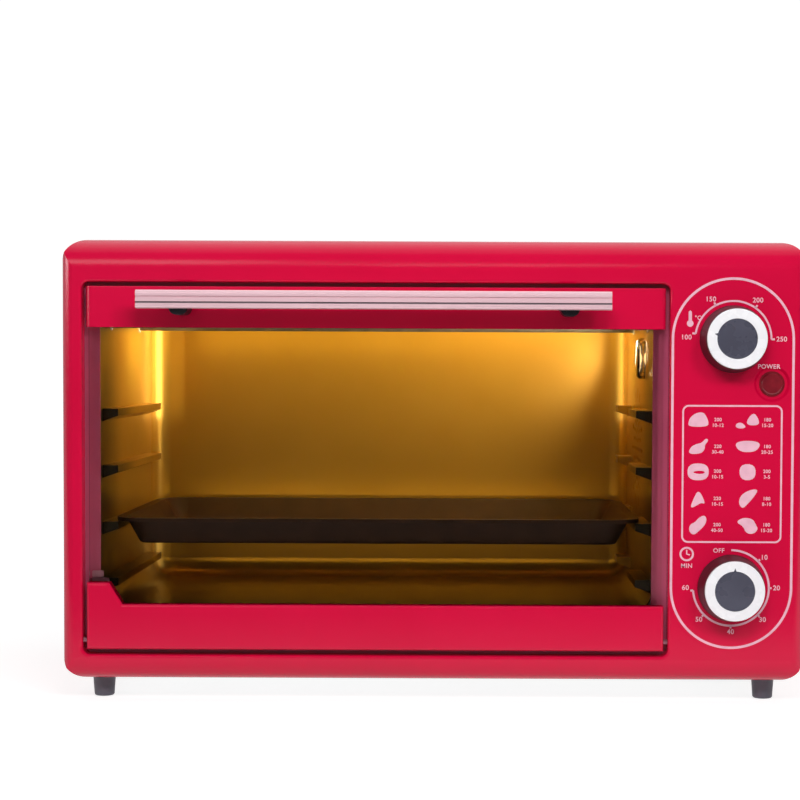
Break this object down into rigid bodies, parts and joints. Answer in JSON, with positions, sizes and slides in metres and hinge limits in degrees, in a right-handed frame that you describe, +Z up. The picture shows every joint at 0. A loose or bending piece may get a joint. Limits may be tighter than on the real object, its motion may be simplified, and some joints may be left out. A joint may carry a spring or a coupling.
{
  "type": "convection toaster oven",
  "caption": "Countertop convection toaster oven with a drop-down glass door, bar handle, baking tray and rotary temperature and timer knobs.",
  "frame": {"origin": "middle of the underside of the oven's outer box, on the table", "axes": "+X to the right as seen from the front, +Y towards the back, +Z up; the door faces -Y"},
  "size_m": [0.515, 0.332, 0.3217],
  "materials": {
    "red_enamel": "gloss enamel",
    "zinc_plate": "galvanised sheet",
    "cavity_steel": "warm-toned coated sheet",
    "black_plastic": "semi-gloss",
    "bright_ring": "satin white",
    "grey_cap": "gloss dark grey",
    "handle_metal": "satin anodised",
    "screw_steel": "plated",
    "bare_steel": "plain",
    "heater_tube": "oxidised",
    "porcelain": "unglazed",
    "door_pane": "clear toughened glass",
    "lamp_glass": "clear",
    "silicone": "matt",
    "motor_iron": "laminated",
    "copper_winding": "taped winding",
    "fan_aluminium": "plain sheet",
    "timer_metal": "zinc-plated case",
    "red_lens": "translucent dark red",
    "neon_lamp": "moulded holder",
    "tray_coating": "dark non-stick"
  },
  "bodies": {
    "oven_body": {"front_panel": "red_enamel", "front_frame": "red_enamel", "stay_guide": "bare_steel", "outer_wrap": "red_enamel", "back_panel": "zinc_plate", "base_plate": "zinc_plate", "feet": "black_plastic", "foot_screws": "screw_steel", "casing_screws": "screw_steel", "cord_grommet": "black_plastic", "cavity_left_wall": "cavity_steel", "cavity_right_wall": "cavity_steel", "cavity_ceiling": "cavity_steel", "cavity_floor": "cavity_steel", "cavity_back_wall": "cavity_steel", "lower_reflector": "zinc_plate", "heater_upper_front": "heater_tube", "heater_upper_rear": "heater_tube", "heater_lower_front": "heater_tube", "heater_lower_rear": "heater_tube", "heater_insulators": "porcelain", "heater_terminals": "bare_steel", "fan_housing": "zinc_plate", "fan_motor": "motor_iron", "motor_coil": "copper_winding", "oven_lamp_lens": "lamp_glass", "oven_lamp_bulb": "lamp_glass", "oven_lamp_socket": "porcelain", "control_bracket": "zinc_plate", "heat_shield": "zinc_plate", "thermostat": "timer_metal", "timer_case": "timer_metal", "timer_bell": "bare_steel", "control_screws": "screw_steel", "indicator_lens": "red_lens", "indicator_lamp": "neon_lamp", "terminal_block": "black_plastic", "hinge_brackets": "zinc_plate", "door_spring": "bare_steel"},
    "door": {"door_top_trim": "red_enamel", "door_bottom_trim": "red_enamel", "door_glass": "door_pane", "glass_gaskets": "silicone", "door_handle": "handle_metal", "handle_posts": "black_plastic", "handle_screws": "screw_steel", "hinge_pins": "bare_steel", "door_stay": "bare_steel"},
    "tray": {"baking_tray": "tray_coating"},
    "fan": {"convection_fan": "fan_aluminium", "fan_shaft": "bare_steel"},
    "temperature_control": {"temperature_knob": "black_plastic", "temperature_knob_ring": "bright_ring", "temperature_knob_cap": "grey_cap", "thermostat_shaft": "bare_steel"},
    "timer_control": {"timer_knob": "black_plastic", "timer_knob_ring": "bright_ring", "timer_knob_cap": "grey_cap", "timer_shaft": "bare_steel"}
  },
  "joints": [
    {"name": "door_hinge", "type": "hinge", "parent": "oven_body", "child": "door", "pos_m": [-0.0401, -0.1264, 0.0431], "axis": [1, 0, 0], "range_deg": [0, 90], "stiffness_Nm_per_rad": 0.7, "springref_deg": -28.65, "deforming": ["door_spring"]},
    {"name": "tray_slide", "type": "slide", "parent": "oven_body", "child": "tray", "axis": [0, -1, 0], "range_m": [0, 0.157]},
    {"name": "fan_spin", "type": "hinge", "parent": "oven_body", "child": "fan", "pos_m": [0.1729, 0.018, 0.17195], "axis": [1, 0, 0], "continuous": true},
    {"name": "temperature_turn", "type": "hinge", "parent": "oven_body", "child": "temperature_control", "pos_m": [0.2067, -0.142, 0.2542], "axis": [0, 1, 0], "range_deg": [0, 180]},
    {"name": "timer_turn", "type": "hinge", "parent": "oven_body", "child": "timer_control", "pos_m": [0.2067, -0.142, 0.0818], "axis": [0, 1, 0], "range_deg": [0, 270]}
  ],
  "couplings": [
    {"joint": "tray_slide", "follows": "door_hinge", "m_per_rad": 0.1}
  ]
}
